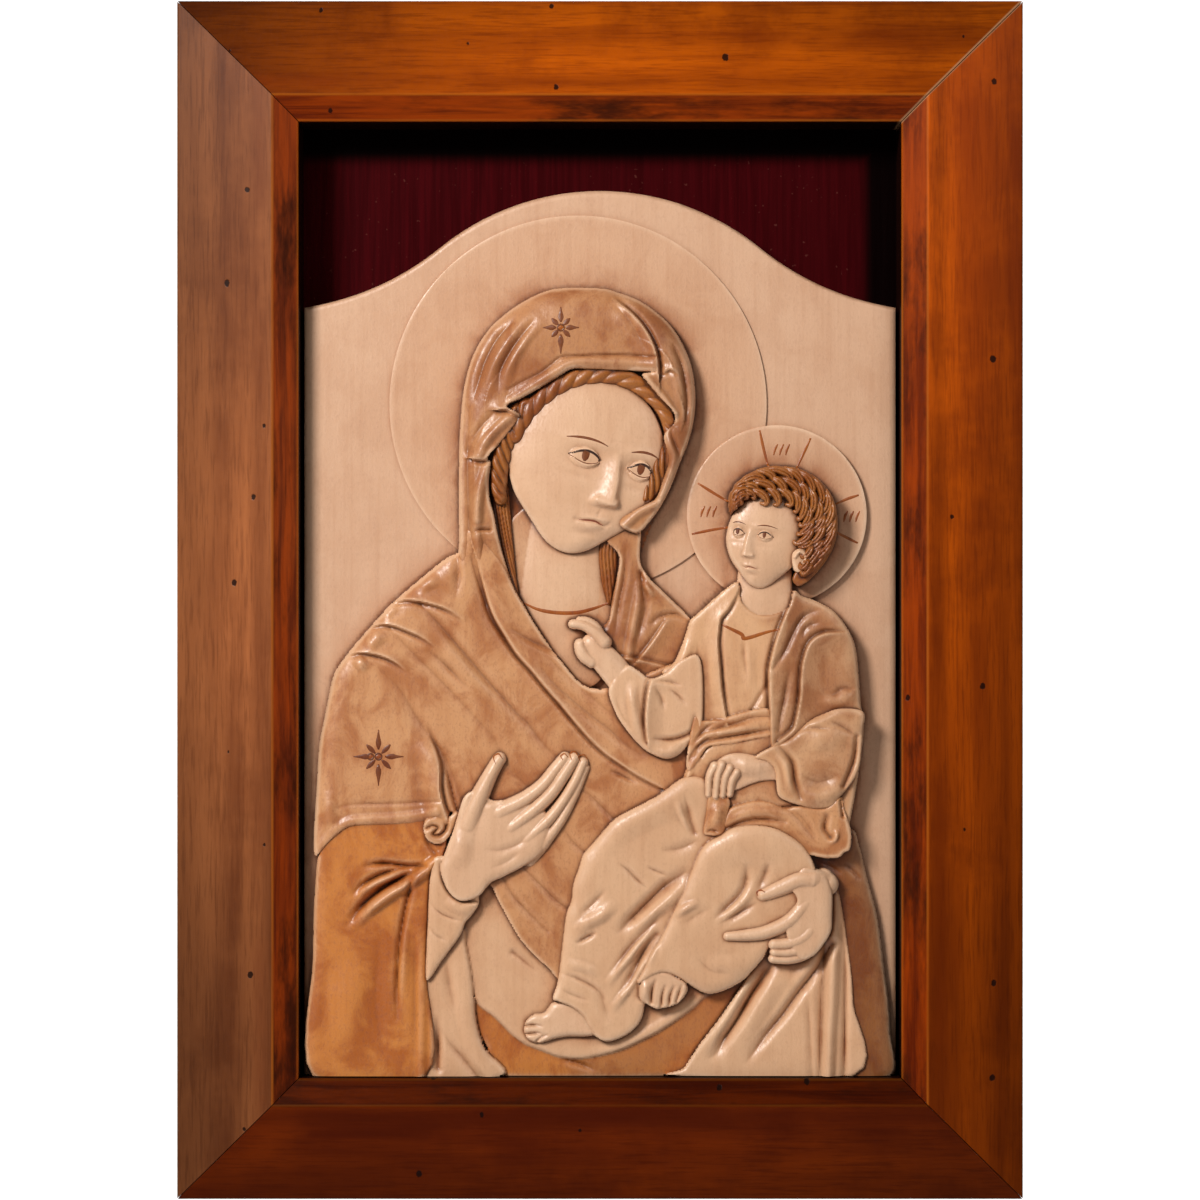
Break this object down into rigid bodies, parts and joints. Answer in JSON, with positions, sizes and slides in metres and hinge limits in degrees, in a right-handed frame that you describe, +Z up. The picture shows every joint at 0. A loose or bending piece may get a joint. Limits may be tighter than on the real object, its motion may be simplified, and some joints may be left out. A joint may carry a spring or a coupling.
{
  "type": "framed icon",
  "caption": "Carved wooden relief of a mother and child with haloes, on an arched panel set over a dark board in a mitred picture frame, to hang on a wall.",
  "frame": {"origin": "middle of the top rail's back face, where the frame meets the wall", "axes": "+Z up, -Y out of the wall towards the viewer, +X to the viewer's right"},
  "size_m": [0.341, 0.0419, 0.483],
  "materials": {
    "stained_frame": "satin, red-brown stain worn at the edges",
    "maroon_board": "matt, dark maroon stain",
    "carved_wood": "satin wax on pale wood, tinted with brown stain"
  },
  "bodies": {
    "root": {"frame_rail_top": "stained_frame", "frame_rail_bottom": "stained_frame", "frame_rail_left": "stained_frame", "frame_rail_right": "stained_frame", "backboard": "maroon_board", "carved_relief": "carved_wood"}
  },
  "joints": []
}
